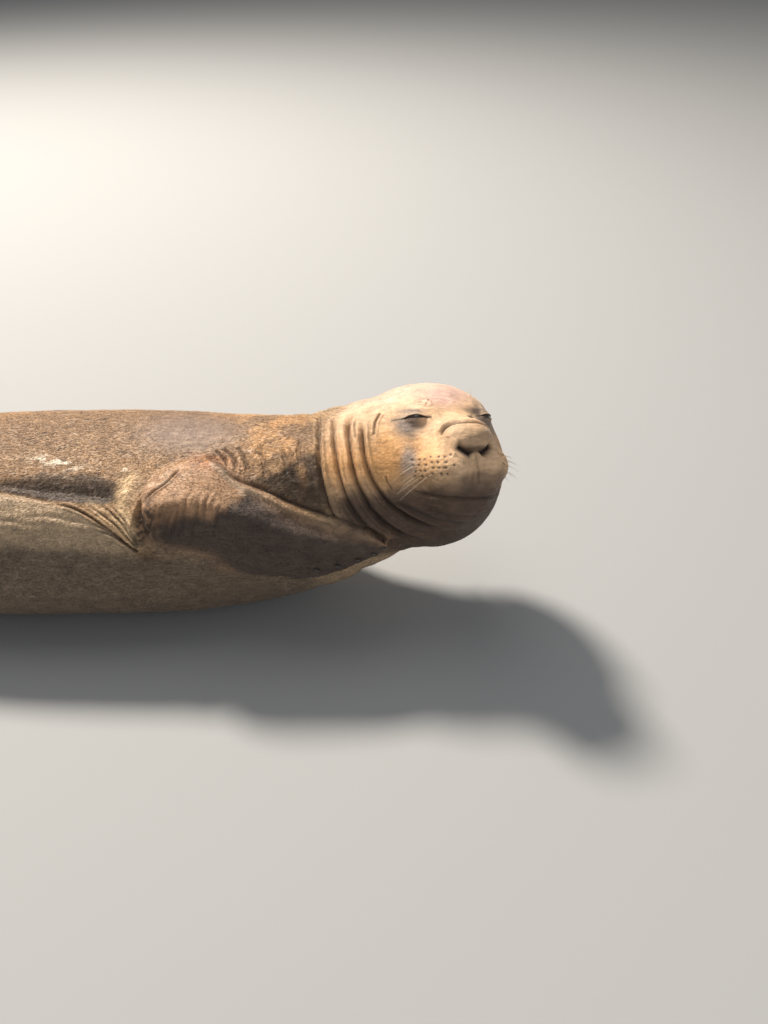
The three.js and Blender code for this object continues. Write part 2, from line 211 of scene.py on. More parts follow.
# ------------------------------------------------------------------ refinement
def refine(v, t, extra, target):
    e, inverse = edges_of(t)
    length = np.linalg.norm(v[e[:, 0]] - v[e[:, 1]], axis=1)
    mark = length > 1.3 * np.minimum(target[e[:, 0]], target[e[:, 1]])
    idx = np.full(len(e), -1)
    idx[mark] = len(v) + np.arange(mark.sum())
    v = np.concatenate([v, (v[e[mark, 0]] + v[e[mark, 1]]) / 2])
    extra = np.concatenate([extra, (extra[e[mark, 0]] + extra[e[mark, 1]]) / 2])
    m = idx[inverse].reshape(3, -1).T
    code = (m[:, 0] >= 0) * 1 + (m[:, 1] >= 0) * 2 + (m[:, 2] >= 0) * 4
    out = [t[code == 0]]
    for turn in range(3):
        r = np.roll(np.arange(3), -turn)
        one = code == (1 << turn)
        a, b, c = t[one][:, r].T
        ab = m[one][:, r[0]]
        out += [np.stack([a, ab, c], 1), np.stack([ab, b, c], 1)]
        two = code == ((1 << turn) | (1 << ((turn + 1) % 3)))
        a, b, c = t[two][:, r].T
        ab, bc = m[two][:, r[0]], m[two][:, r[1]]
        out += [np.stack([ab, b, bc], 1), np.stack([a, ab, bc], 1), np.stack([a, bc, c], 1)]
    three = code == 7
    a, b, c = t[three].T
    ab, bc, ca = m[three].T
    out += [np.stack([a, ab, ca], 1), np.stack([ab, b, bc], 1), np.stack([ca, bc, c], 1), np.stack([ab, bc, ca], 1)]
    return v, np.concatenate(out), extra


def wanted(v, n):
    px, py, z = project(v)
    toward = ((CAM - v) * n).sum(1) / np.linalg.norm(CAM - v, axis=1)
    f, l, u = head_coords(v)
    face = (f > -0.02) & (np.abs(l) < 0.22) & (u > -0.26)
    fine = np.full(len(v), 0.0090)
    seen = (toward > -0.05) & (px > -30) & (py < 640)
    fine[seen] = 0.0048
    close = seen & (px > 110) & (py < 600)
    fine[close] = 0.0034
    fine[seen & (px > 40) & (px < 250) & (py > 442) & (py < 562)] = 0.0026
    fine[face & (px > 300)] = 0.0027
    fine[face & (px > 380) & (py < 505) & (f > 0.06)] = 0.0019
    return fine


for i in range(3):
    V, T, MASKS = refine(V, T, MASKS, wanted(V, normals(V, T)))
N = normals(V, T)
print("skin", len(V), len(T))

# ------------------------------------------------------------------ noise in space
def lattice(seed, size=32):
    return np.random.default_rng(seed).uniform(-1, 1, (size, size, size))


GRIDS = [lattice(s) for s in (11, 12, 13, 14)]


def noise(p, scale, k=0):
    g = GRIDS[k % 4]
    q = p * np.asarray(scale, float) + 13.7 * k
    i = np.floor(q).astype(int)
    w = q - i
    w = w * w * (3 - 2 * w)
    s = g.shape[0]
    out = 0
    for dx in (0, 1):
        for dy in (0, 1):
            for dz in (0, 1):
                c = g[(i[:, 0] + dx) % s, (i[:, 1] + dy) % s, (i[:, 2] + dz) % s]
                out = out + c * np.where(dx, w[:, 0], 1 - w[:, 0]) * np.where(dy, w[:, 1], 1 - w[:, 1]) * np.where(dz, w[:, 2], 1 - w[:, 2])
    return out


def fractal(p, scale, k=0, octaves=3):
    out, amp, total = 0, 1.0, 0.0
    for o in range(octaves):
        out = out + amp * noise(p, np.asarray(scale, float) * 2.03 ** o, k + o)
        total += amp
        amp *= 0.5
    return out / total


# ------------------------------------------------------------------ folds drawn from the camera's side
px, py, depth = project(V)
toward = ((CAM - V) * N).sum(1) / np.linalg.norm(CAM - V, axis=1)
near = ramp(toward, 0.0, 0.25)
disp = np.zeros(len(V))
crease_shade = np.zeros(len(V))  # how deep in a crease, kept as painted shade for the colour


def polyline(points, n=48):
    p = np.array(points, float)
    p = np.concatenate([[2 * p[0] - p[1]], p, [2 * p[-1] - p[-2]]])
    out = []
    seg = len(p) - 3
    for s in np.linspace(0, seg - 1e-6, n):
        i = int(s)
        w = s - i
        a, b, c, d = p[i:i + 4]
        out.append(b + 0.5 * w * (c - a + w * (2 * a - 5 * b + 4 * c - d + w * (3 * (b - c) + d - a))))
    return np.array(out)


def crease(points, depth_mm, width_px, ridge=0.0, offset=None, taper=(0.12, 0.12), shade=1.0, wobble=0.6):
    """A groove along a line given in the picture's frame, with rolls of flesh on both sides."""
    line = polyline(points)
    reach = width_px * 3.2
    lo, hi = line.min(0) - reach, line.max(0) + reach
    pick = np.where((px > lo[0]) & (px < hi[0]) & (py > lo[1]) & (py < hi[1]) & (near > 0.01))[0]
    if not len(pick):
        return
    q = np.stack([px[pick], py[pick]], 1)
    q = q + wobble * np.stack([noise(V[pick], 38, 1), noise(V[pick], 38, 2)], 1)
    a, b = line[:-1], line[1:]
    ab = b - a
    best = np.full(len(pick), 1e9)
    at = np.zeros(len(pick))
    side = np.zeros(len(pick))
    for i in range(len(a)):
        w = np.clip(((q - a[i]) @ ab[i]) / (ab[i] @ ab[i] + 1e-9), 0, 1)
        r = q - a[i] - w[:, None] * ab[i]
        d = np.hypot(r[:, 0], r[:, 1])
        m = d < best
        best[m] = d[m]
        at[m] = ((i + w) / len(a))[m]
        side[m] = np.sign(ab[i][0] * r[:, 1] - ab[i][1] * r[:, 0])[m]
    k = ramp(at, 0, taper[0] + 1e-6) * (1 - ramp(at, 1 - taper[1] - 1e-6, 1)) if taper else 1.0
    k = k * near[pick]
    x = best / width_px
    groove = np.exp(-np.abs(x) ** 1.5 * 1.2)
    bulge = np.exp(-((x - 1.9) / 0.95) ** 2)
    if offset is not None:
        bulge = bulge * np.where(side * offset > 0, 1.0, 0.25)
    disp[pick] += (-depth_mm * groove + ridge * bulge) * k * 1e-3
    # the groove's depth is kept as painted shade for the colour
    crease_shade[pick] = np.maximum(crease_shade[pick], shade * groove * k)


def along_line(points, width_px, X, Y):
    line = polyline(points)
    best = np.full(len(X), 1e9)
    for i in range(len(line) - 1):
        a, ab = line[i], line[i + 1] - line[i]
        w = np.clip(((X - a[0]) * ab[0] + (Y - a[1]) * ab[1]) / (ab @ ab), 0, 1)
        best = np.minimum(best, np.hypot(X - a[0] - w * ab[0], Y - a[1] - w * ab[1]))
    return np.exp(-(best / width_px) ** 2)


def mound(x, y, rx, ry, height_mm, turn=0.0, power=1.0):
    """A swelling or hollow round a point of the picture's frame."""
    c, s = math.cos(turn), math.sin(turn)
    dx, dy = px - x, py - y
    r = ((dx * c + dy * s) / rx) ** 2 + ((-dx * s + dy * c) / ry) ** 2
    disp[:] += height_mm * 1e-3 * np.exp(-r ** power) * near


# Rolls of the neck, from the outermost inwards to the cheek.
crease([(319, 412), (318, 432), (319, 456), (322, 482), (328, 508), (340, 528)], 11, 2.3, 4.5)
crease([(214, 450), (221, 456), (229, 466)], 5.5, 1.6, 3.5)
crease([(222, 448), (231, 456), (238, 469)], 6.0, 1.8, 4.0)
crease([(236, 445), (243, 456), (249, 471)], 6.0, 1.9, 3.8)
crease([(258, 442), (262, 458), (266, 476)], 6.0, 2.0, 3.5)
crease([(281, 446), (285, 460), (287, 474)], 5.5, 2.1, 3.0)
crease([(301, 438), (299, 452), (301, 468)], 4.0, 2.0, 2.4)
crease([(334, 414), (334, 436), (337, 462), (342, 486), (352, 510), (370, 531), (396, 546)], 12, 2.3, 5.0)
crease([(350, 411), (348, 430), (351, 456), (357, 482), (372, 511), (398, 533), (430, 545)], 15, 2.5, 6.0)
crease([(362, 418), (363, 446), (370, 474), (384, 498), (410, 518), (446, 533)], 14, 2.4, 6.0)
crease([(381, 411), (376, 422), (374, 436)], 3.5, 1.3, 1.6)
crease([(355, 420), (355, 440)], 3.0, 1.3, 1.0)
crease([(385, 475), (388, 483), (393, 491)], 2.4, 1.1, 1.2)
crease([(393, 500), (415, 511), (440, 521), (470, 524)], 5.0, 2.2, 2.5)
# Hollow between the flipper and the neck, with one swelling in it.
mound(300, 492, 34, 18, -10, turn=0.55)
mound(303, 474, 5, 13, 7, turn=-0.3)
# Armpit: folds that gather into one point.
for line, d in [([(48, 502), (78, 510.5), (106, 528), (138, 552)], 6.5), ([(86, 520), (110, 533), (138, 552)], 5.5),
                ([(92, 529), (112, 536), (138, 553)], 4.0), ([(84, 503), (113, 523), (138, 549)], 4.5),
                ([(97, 503), (118, 519), (138, 546)], 4.0), ([(108, 504), (124, 520), (137, 542)], 2.6)]:
    crease(line, d, 1.25, 3.0, taper=(0.4, 0.02), shade=1.15, wobble=0.35)
# Flank: a long hollow above the roll of the belly, with a crisp lower edge.
crease([(-260, 474), (-120, 478), (0, 485), (50, 490), (90, 494), (118, 496)], 11, 9.0, 1.0, offset=1, taper=(0.2, 0.1), shade=0.0, wobble=1.0)
crease([(-200, 486), (-60, 489), (0, 492), (50, 502)], 5.0, 2.4, 1.2, taper=(0.3, 0.05), shade=0.5)
mound(20, 514, 90, 16, 5)
mound(126, 471, 3.6, 2.3, 6.5)
mound(126, 500, 8, 24, 5, turn=0.08)
for k in range(7):
    crease([(-30 + 22 * k, 512 + 3 * (k % 3)), (0 + 22 * k, 516 + 4 * ((k + 1) % 3)), (36 + 18 * k, 521 + 3 * (k % 2))], 1.0, 2.2, 0.8, taper=(0.4, 0.4), shade=0.15)
# Upper arm: a bright ridge in front of the armpit, a deep crease beside it and short wrinkles.
crease([(152, 484), (136, 508), (131, 530), (136, 550)], -8, 5.0, 0, taper=(0.2, 0.15), shade=0.0)
crease([(184, 464), (176, 474), (166, 484), (152, 494), (142, 508)], 4.5, 1.15, 3.0, taper=(0.25, 0.3), shade=1.1, wobble=0.3)
crease([(152, 486), (144, 494), (137, 503)], 1.8, 1.2, 1.6, taper=(0.3, 0.3), shade=0.4)
for x, y0, y1, d in [(150, 508, 548, 3.0), (157, 502, 556, 3.6), (166, 504, 560, 3.2), (175, 500, 548, 3.2), (185, 490, 540, 2.8), (194, 496, 556, 3.0), (206, 486, 530, 2.2), (216, 500, 548, 1.8)]:
    crease([(x + 7, y0), (x, y0 * 0.6 + y1 * 0.4), (x - 2, y0 * 0.3 + y1 * 0.7), (x + 1, y1)], d, 1.9, 1.9, taper=(0.3, 0.4), wobble=1.7, shade=0.6)
crease([(205, 455), (218, 462), (232, 476), (262, 489), (292, 504), (332, 518), (368, 531), (392, 544)], 9, 2.8, 0, taper=(0.06, 0.04), shade=1.0, wobble=0.1)
crease([(206, 462), (220, 469), (234, 483), (263, 496), (293, 511), (332, 524), (366, 536)], -4.5, 3.4, 0, taper=(0.1, 0.1), shade=0.0, wobble=0.2)
mound(172, 498, 26, 34, 8)
mound(208, 470, 16, 12, 5)
mound(262, 545, 60, 14, -4, turn=0.22)
# Nose, pads, mouth and chin: drawn for the right half of the head and mirrored to the left.
seen = (px, py, near)
px, py, facing, lf = mirrored(V, N)
near = ramp(facing, -0.05, 0.25) * ramp(MASKS[:, 0], 0.2, 0.7)
FOLDED = (px, py, near)
f, l, u = head_coords(V)
mound(463, 437, 23, 14, 11, power=1.5)
crease([(440.5, 438), (443, 430.5), (449, 425.5), (457, 422.6), (466, 421.6)], 9.0, 1.8, 6.0, offset=-1, wobble=0.1, taper=(0.2, 0.0), shade=1.3)
crease([(449, 437), (446.5, 447), (449.5, 459)], 3.0, 3.4, 1.2, shade=0.35)
mound(437, 467, 22, 15, 8, turn=0.2, power=1.6)
mound(462, 470, 12, 12, 5, power=1.3)
crease([(456, 445.5), (460, 447.5), (465, 450.5), (472, 454.5)], 15, 3.5, 1.0, taper=(0.2, 0.0), wobble=0.0, shade=1.6)
# a shallow groove down the middle of the lip, with painted shade in it
groove = np.exp(-(lf / 0.0035) ** 2) * ramp(-u, 0.012, 0.022) * (1 - ramp(-u, 0.075, 0.095)) * near
disp -= 2.4e-3 * groove
crease_shade = np.maximum(crease_shade, 0.55 * groove)
crease([(403, 488), (418, 492), (436, 496), (456, 498), (480, 498.5)], 4.5, 1.7, 1.8, wobble=0.25, taper=(0.25, 0.0), shade=0.7)
mound(452, 513, 26, 9, 4)
crease([(420, 505), (442, 514), (474, 517)], 3.0, 2.6, 1.5, taper=(0.3, 0.0), shade=0.5)
# Brow, corners of the eye and cheek.
mound(418, 406, 20, 6, 3.5, turn=0.05)
crease([(399, 418.8), (402, 418.4), (407, 417.8)], 2.4, 1.0, 0.6, shade=1.4, wobble=0.0)
crease([(423, 416.8), (428, 416.6), (432.5, 416)], 2.4, 1.0, 0.6, shade=1.5, wobble=0.0)
for k in range(3):
    crease([(400 + 2 * k, 426 + 4 * k), (407 + k, 428.5 + 4 * k), (415, 427 + 4.2 * k)], 1.8, 1.1, 1.0, shade=0.45, wobble=0.3)
mound(400, 455, 20, 26, 4)
px, py, near = seen
patch = np.exp(-(((px - 58) / 27) ** 2 + ((py - 463 - 0.14 * (px - 58)) / 7) ** 2) ** 2) * near
disp += 1.6e-3 * patch * ramp(noise(V, (60, 90, 90), 1) + 0.4 * noise(V, 150, 2), 0.0, 0.4)
px, py, near = FOLDED
# Whisker pits, each also darkened as painted shade.
pits = []
for row in range(4):
    for col in range(7 - (row % 2)):
        pits.append((413 + col * 6.4 + row * 0.8 + 0.8 * ((col * 5 + row) % 3 - 1), 461 + row * 5.4 - col * 0.9 + 0.9 * ((col * 7 + row * 3) % 3 - 1)))
for x, y in pits:
    r = ((px - x) ** 2 + (1.25 * (py - y)) ** 2) / 1.5 ** 2
    k = np.exp(-r) * near
    disp -= 2.2e-3 * k
    crease_shade = np.maximum(crease_shade, 1.35 * k)
px, py, near = seen

# ------------------------------------------------------------------ folds all round
f, l, u = head_coords(V)
AX = unit(NOSE + unit([0.93, 0.05, 0.36]))
s_neck = (V - HEAD_AT) @ AX
far = 1 - ramp(toward, -0.05, 0.2)
neckish = np.clip(MASKS[:, 1] + 0.5 * MASKS[:, 0] * (f < 0.0), 0, 1) * ramp(s_neck, -0.42, -0.3) * (1 - ramp(s_neck, -0.02, 0.08))
warp = s_neck + 0.012 * noise(V, 7, 0)
wave = np.abs(np.sin(np.pi * warp / 0.062))
disp += far * neckish * (-6.5e-3 * (1 - wave) ** 3 + 2.0e-3 * wave)
# painted shade in the neck grooves
crease_shade = np.maximum(crease_shade, 0.8 * far * neckish * (1 - wave) ** 4)
# Long wrinkles of the loose skin and fine leathery ones.
body = np.clip(1 - MASKS[:, 0] - MASKS[:, 6:].sum(1), 0, 1)
disp += body * 3.2e-3 * fractal(V, (4.5, 9, 9), 0, 3)
disp += 0.9e-3 * fractal(V, (26, 60, 60), 1, 3) * (1 - 0.4 * headish.max() * MASKS[:, 0])
disp += 0.35e-3 * noise(V, 150, 3)
# Digits of the flippers: long ridges fanning to the edge.
for k, (root, spread, lead) in {
    6: ((-0.55, 1.62, 0.44), 9.0, (0.1, 0.48, 0.85)),
    7: ((-0.60, 2.10, 0.10), 9.0, (1.0, 0.32, 0.1)),
    8: ((-2.36, 1.95, 0.10), 13.0, (0.1, -0.9, 0.1)),
    9: ((-2.36, 2.08, 0.10), 13.0, (0.2, 0.95, 0.05)),
}.items():
    r = V - (np.array(root) + OFF)
    along = {6: unit([0.97, -0.05, -0.15]), 7: unit([-0.4, 0.9, -0.1]), 8: unit([-0.97, -0.25, -0.15]), 9: unit([-0.95, 0.3, -0.15])}[k]
    ang = np.arctan2(r @ unit(lead), np.maximum(r @ along, 0.02))
    m = MASKS[:, k] * ramp(r @ along, 0.1, 0.28)
    disp += m * 1.6e-3 * np.cos(ang * spread * (2.2 if k > 7 else 2.6))
    # painted shade between the ridges of the digits
    crease_shade = np.maximum(crease_shade, 0.35 * m * (1 - np.abs(np.cos(ang * spread * 1.1))))

COAT = 0.0026
disp -= COAT
floor_hold = ramp(V[:, 2], 0.0, 0.012)
V = V + N * (disp * np.clip(floor_hold, 0.05, 1))[:, None]
V[:, 2] = np.maximum(V[:, 2], 0.0004)

# ------------------------------------------------------------------ lids round the eyes
eyes = {}
for name in ("eye_right", "eye_left"):
    lo, hi = (np.array(c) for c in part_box(name))
    c, R = (lo + hi) / 2, float((hi - lo).mean() / 2)
    out = unit(c - (HEAD_AT + NOSE * 0.03 + UP * 0.05))
    across = unit(np.cross(UP, out)) * (1 if name == "eye_right" else -1)
    across = -across if across @ np.array([1.0, 0, 0]) < 0 else across
    above = unit(np.cross(out, across))
    above = -above if above @ UP < 0 else above
    across = unit(across - 0.06 * above)
    above = unit(above - (above @ across) * across)
    eyes[name] = (c, R, out, across, above)
    q = V - c
    r = np.linalg.norm(q, axis=1)
    pick = np.where(r < R * 2.6)[0]
    q, r = q[pick], r[pick]
    d = q / r[:, None]
    theta = np.arccos(np.clip(d @ out, -1, 1))
    a = np.arctan2(d @ across, d @ out)
    b = np.arcsin(np.clip(d @ above, -1, 1)) + 0.06
    half = 0.98
    arch = np.clip(1 - (a / half) ** 2, 0, 1)
    upper, lower = 0.055 * arch ** 0.8, -0.19 * arch
    inside = (b < upper) & (b > lower) & (np.abs(a) < half)
    edge = np.minimum(np.abs(b - upper), np.abs(b - lower))
    lid = 1 - ramp(theta, 0.55, 1.30)
    goal = R + 0.0022 + 0.0016 * np.exp(-(edge / 0.07) ** 2) * (np.abs(a) < half * 1.1)
    goal = goal - 0.0030 * np.exp(-((b - 0.62 + 0.25 * (a / half) ** 2) / 0.09) ** 2) * np.exp(-(a / 1.0) ** 4)
    goal = goal - 0.0022 * np.exp(-((b + 0.55 - 0.22 * (a / half) ** 2) / 0.09) ** 2) * np.exp(-(a / 0.9) ** 4)
    goal = goal - 0.0016 * np.exp(-((b - 0.36 + 0.2 * (a / half) ** 2) / 0.05) ** 2) * np.exp(-(a / 0.8) ** 4)
    new_r = np.maximum(r, (R + 0.0022) * (theta < 1.45)) * (1 - lid) + goal * lid
    new_r = np.where(inside & (theta < 1.3), R - 0.006, new_r)
    V[pick] = c + d * new_r[:, None]
    slot = np.full(len(V), -1)
    slot[pick] = np.arange(len(pick))
    local = slot[T[(slot[T] >= 0).all(1)]]
    soft = ramp(theta, 0.62, 0.95) * (1 - ramp(theta, 1.7, 2.1)) * (1 - inside * (theta < 1.3))
    soft = soft * ramp(edge, 0.04, 0.12)
    used = np.zeros(len(pick), bool)
    used[local.ravel()] = True
    soft = soft * used
    avg = smoother(local, len(pick))
    w = V[pick]
    for i in range(26):
        with np.errstate(all="ignore"):
            w = w + np.where(used[:, None], np.nan_to_num(avg(w)) - w, 0) * (0.6 * soft)[:, None]
    V[pick] = w
    m = np.exp(-(edge / 0.05) ** 2) * (np.abs(a) < half * 1.25) * (theta < 1.3)
    # dark lid rims, and painted shade inside the slit
    crease_shade[pick] = np.maximum(crease_shade[pick], np.where(inside & (theta < 1.3), 1.6, 1.3 * m))
V[:, 2] = np.maximum(V[:, 2], 0.0004)
N = normals(V, T)

# ------------------------------------------------------------------ colours as fields over the animal
def srgb(r, g, b):
    c = np.array([r, g, b]) / 255.0
    return np.where(c <= 0.04045, c / 12.92, ((c + 0.055) / 1.055) ** 2.4)


# Several tones stand for light: the near-black one is painted shade; the dark one for the lower body is painted shade;
# the dark jaw and blade tones are partly painted shade; the umber tone is painted shade under the nose and on the arm,
# and real specks elsewhere; the light edge tone is a painted highlight; the cream, scab and crust tones are partly
# painted highlights on lit ridges and a wart.
PAINT = {
    "back": srgb(150, 118, 86), "flank": srgb(160, 126, 90), "belly": srgb(180, 156, 126), "smooth": srgb(116, 96, 83),
    "gold": srgb(184, 142, 96), "head": srgb(216, 180, 142), "crown": srgb(214, 182, 160), "cheek": srgb(210, 158, 100),
    "grey": srgb(104, 95, 92), "lilac": srgb(160, 146, 138), "jaw_and_shade": srgb(82, 64, 52), "nose": srgb(158, 128, 98), "pink": srgb(206, 168, 158),
    "neck": srgb(184, 156, 122), "arm": srgb(172, 134, 100), "blade": srgb(66, 56, 50), "painted_shade": srgb(48, 36, 29), "scab": srgb(216, 190, 164), "crust_and_highlight": srgb(240, 222, 198), "cream": srgb(232, 200, 156), "foot": srgb(80, 67, 57),
    "rim_highlight": srgb(168, 146, 122), "rust": srgb(176, 116, 74), "umber": srgb(84, 62, 46), "hollow": srgb(112, 86, 62),
}


def neckward(p):
    """One at the head, fading to nothing at the shoulders."""
    return ramp((p - HEAD_AT) @ AX, -0.62, -0.20)


def colours(P, n, masks, painted_shade):
    """The markings, with painted shade and painted highlights, from places and soft noise, for skin and coat alike."""
    px, py, _ = project(P)
    toward = ((CAM - P) * n).sum(1) / np.linalg.norm(CAM - P, axis=1)
    near = ramp(toward, -0.1, 0.2)
    f, l, u = head_coords(P)
    dorsal = np.array([0.0, 0.60, 0.80])
    ax = np.stack([P[:, 0], np.full(len(P), 1.93 + OFF[1]), np.full(len(P), 0.26)], 1)
    d = unit(P - ax) @ dorsal
    big = fractal(P, 5, 0, 3)
    mid = fractal(P, 16, 1, 3)
    small = fractal(P, 55, 2, 2)
    c = np.empty((len(P), 3))
    c[:] = PAINT["flank"]

    def lay(name, w):
        w = np.clip(w, 0, 1)[:, None]
        c[:] = c * (1 - w) + PAINT[name] * w
    lay("back", ramp(d + 0.15 * big, 0.1, 0.8))
    line = np.interp(px, [-300, 0, 48, 78, 106, 137, 160], [486, 492, 502, 510.5, 528, 552, 575])
    here = near * (1 - ramp(px, 140, 165))
    under = ramp(py - line + 3 * mid, -2, 5)
    lay("belly", 0.92 * (under * here + (1 - here) * (1 - ramp(d + 0.10 * big, -0.30, 0.02))))
    # Painted shade in the trough along the flank, above the roll of the belly.
    top = np.interp(px, [-300, -60, 0, 30, 100, 120], [478, 481, 484, 473, 474, 482]) + 5 * mid
    foot = np.interp(px, [-300, 0, 48, 80, 105, 120], [486, 491, 500, 503, 504, 500])
    trough_shade = near * ramp(py - top, -2, 5) * ramp(foot - py, -2, 1.5) * (1 - ramp(px + 2 * mid, 113, 121))
    lay("painted_shade", np.clip(0.74 * trough_shade + 0.14 * trough_shade * ramp(py - top, 6, 14), 0, 0.88))
    lay("gold", 0.85 * ramp(mid + 0.3 * big + 0.35 * small, -0.15, 0.35) * ramp(d, -0.2, 0.4) * ramp(P[:, 0], 0.62, 0.95) * (1 - masks[:, 0]))
    lay("gold", 0.45 * ramp(mid + 0.5 * big, 0.0, 0.5) * ramp(d, -0.1, 0.5) * (1 - ramp(P[:, 0], 0.1, 0.4)))
    sx, sy = (px - 190) / 55, (py - 432) / 22
    lay("smooth", 0.8 * np.exp(-(sx ** 2 + sy ** 2) ** 1.6) * near)
    # Pale ridge in front of the armpit and the folds fanning into it: partly pale skin, partly painted highlight on
    # their crests.
    ridge = along_line([(131, 479), (124, 494), (123, 510), (129, 528), (137, 546)], 7.0, px, py) * near
    fan = near * np.exp(-(((px - 112) / 22) ** 2 + ((py - 522 - 0.75 * (px - 112)) / 9) ** 2) ** 2) * (py > line - 22)
    lay("cream", 0.8 * np.clip(ridge + 0.6 * fan, 0, 1) * (1 - 0.9 * masks[:, 6] * ramp(px, 134, 143)))
    # Painted shade over the lower belly in front and along the underside elsewhere.
    low_y = np.interp(px, [-300, 0, 60, 137, 200, 394], [538, 541, 546, 553, 550, 562])
    side = near * ramp(py - low_y + 4 * mid, -5, 12) + (1 - near) * (1 - ramp(d, -0.75, -0.35)) * 0.6
    lay("foot", 0.72 * np.clip(side, 0, 1) * (1 - masks[:, 0]))
    lay("neck", masks[:, 1] * ramp(px, 300, 340) * 0.85)
    hd = np.clip(masks[:, 0] * 1.05, 0, 1)
    back_of_head = (1 - near) * (1 - ramp(f + 0.04 * mid, -0.20, 0.04))
    nape = (neckward(P) + 0.06 * mid) * (1 - near)
    lay("neck", nape * 0.45 * (1 - masks[:, 0]))
    hd = hd * (1 - 0.8 * back_of_head)
    lay("head", hd)
    lay("crown", hd * ramp(u, 0.12, 0.2) * 0.9)
    lay("cheek", hd * 0.8 * np.exp(-((u - 0.0) / 0.07) ** 2) * ramp(np.abs(l), 0.05, 0.12))
    fx, fy, facing, lf = mirrored(P, n)
    fn = hd * ramp(facing, -0.1, 0.2)

    def spot(x, y, rx, ry, power=1.6, turn=0.0):
        a, b = math.cos(turn), math.sin(turn)
        dx, dy = fx - x, fy - y
        return fn * np.exp(-(((dx * a + dy * b) / rx) ** 2 + ((dy * a - dx * b) / ry) ** 2) ** power)
    lay("cheek", 0.85 * spot(388, 458, 15, 32))
    lay("pink", 0.75 * spot(446, 396, 25, 11))
    # darker jaw, partly its own darker coat and partly painted shade
    lay("jaw_and_shade", hd * ramp(-u + 0.03 * mid, 0.045, 0.12) * 0.92)
    # painted cast shadow below the pads and muzzle
    lay("jaw_and_shade", 0.6 * fn * ramp(fy - np.interp(fx, [380, 400, 430, 455, 480], [494, 491, 485, 474, 466]) + 4 * mid, -2, 9))
    lay("grey", 0.85 * spot(408, 425.5, 15 + 2 * mid, 11.5))
    lay("grey", 0.65 * spot(412, 411, 14, 3.2))
    lay("umber", 0.40 * spot(412, 437, 5, 3.5))
    lay("lilac", 0.85 * spot(409, 461, 8.5, 15))
    lay("umber", 0.75 * spot(426, 402, 9, 3.6) * ramp(noise(P, 210, 2), 0.15, 0.45) * (lf < 0))
    lay("nose", 0.65 * spot(463, 434, 19, 11))
    # painted shade between and below the nostrils, under the nose bulb
    lay("umber", 0.85 * spot(473, 449.5, 13, 4.2))
    lay("umber", 0.35 * spot(446, 426, 5, 4))
    arm = masks[:, 6]
    lay("arm", arm)
    # Painted shadow in the hollow between the neck and the flipper, kept lighter on the lit swelling in it.
    low = np.interp(px, [205, 218, 232, 262, 292, 332, 368, 392], [455, 462, 476, 489, 504, 518, 531, 544])
    high = np.interp(px, [228, 246, 266, 284, 300, 316, 326, 340, 396], [470, 473, 476, 468, 456, 452, 486, 520, 548])
    shade = ramp(py - high + 2 * mid, -3, 5) * ramp(low - py, -2, 1) * near * ramp(px, 224, 240) * (1 - ramp(px, 318, 336))
    lit = np.exp(-(((px - 303 - 0.25 * (py - 474)) / 5) ** 2 + ((py - 474) / 13) ** 2) ** 1.5)
    lay("painted_shade", 0.80 * shade * (1 - arm) * (1 - 0.75 * lit))
    lay("rust", 0.6 * near * np.exp(-(((px - 208) / 22) ** 2 + ((py - 462) / 8) ** 2) ** 1.3))
    # painted shade over the shaded side of the upper arm, mottled
    lay("umber", 0.75 * near * np.exp(-(((px - 158) / 24) ** 2 + ((py - 532) / 30) ** 2) ** 1.6) * ramp(mid + small * 0.5, -0.5, 0.1))
    # painted shade on the steep wall of the arm's crease, mottled
    lay("painted_shade", 0.9 * near * np.exp(-(((px - 142 - 0.25 * (530 - py)) / 8) ** 2 + ((py - 524) / 26) ** 2) ** 1.6) * ramp(small + noise(P, 130, 1), -0.5, 0.2))
    # pale marks on the arm's top ridge and lower on the flipper: partly pale coat, partly painted highlight
    lay("scab", 0.55 * near * np.exp(-(((px - 158) / 26) ** 2 + ((py - 484 + 0.5 * (px - 158)) / 8) ** 2) ** 1.5) * ramp(small + 0.3 * mid, -0.2, 0.3))
    lay("scab", 0.45 * near * np.exp(-(((px - 240) / 12) ** 2 + ((py - 498) / 10) ** 2) ** 1.5) * ramp(small + 0.3 * mid, 0.0, 0.4))
    # dark blade: partly the flipper's own darker skin, partly painted shade below the lit leading edge
    edge_y = np.interp(px, [120, 150, 175, 205, 225, 245, 262, 300, 340, 394], [560, 528, 520, 518, 508, 496, 494, 510, 525, 550])
    blade = near * ramp(py - edge_y + 9 * mid + 4 * noise(P, (70, 12, 12), 2), -7, 9) + (1 - near) * ramp(P[:, 0] + 0.06 * mid, 0.66, 0.88)
    lay("blade", arm * 0.95 * np.clip(blade, 0, 1))
    # painted highlight along the flipper's leading edge
    edge = along_line([(212, 464), (220, 470), (234, 484), (263, 496), (293, 511), (332, 524), (372, 538)], 3.0, px, py)
    lay("rim_highlight", 0.75 * edge * near * arm)
    lay("blade", masks[:, 7] * ramp(P[:, 1], -0.02, 0.12) * 0.95)
    lay("blade", (masks[:, 8] + masks[:, 9]) * ramp(-P[:, 0], 1.08, 1.3) * 0.95)
    scab = np.exp(-(((px - 58) / 27) ** 2 + ((py - 463 - 0.14 * (px - 58)) / 7) ** 2) ** 2) * near
    lay("crust_and_highlight", scab * ramp(noise(P, (60, 90, 90), 1) + 0.4 * noise(P, 150, 2), -0.05, 0.3))
    # painted highlight on the small wart
    lay("crust_and_highlight", 0.8 * near * np.exp(-(((px - 126) / 3.4) ** 2 + ((py - 470.5) / 2) ** 2) ** 1.5))
    tone = 1 + 0.10 * big + 0.10 * mid + 0.09 * small
    c *= np.clip(tone, 0.6, 1.4)[:, None]
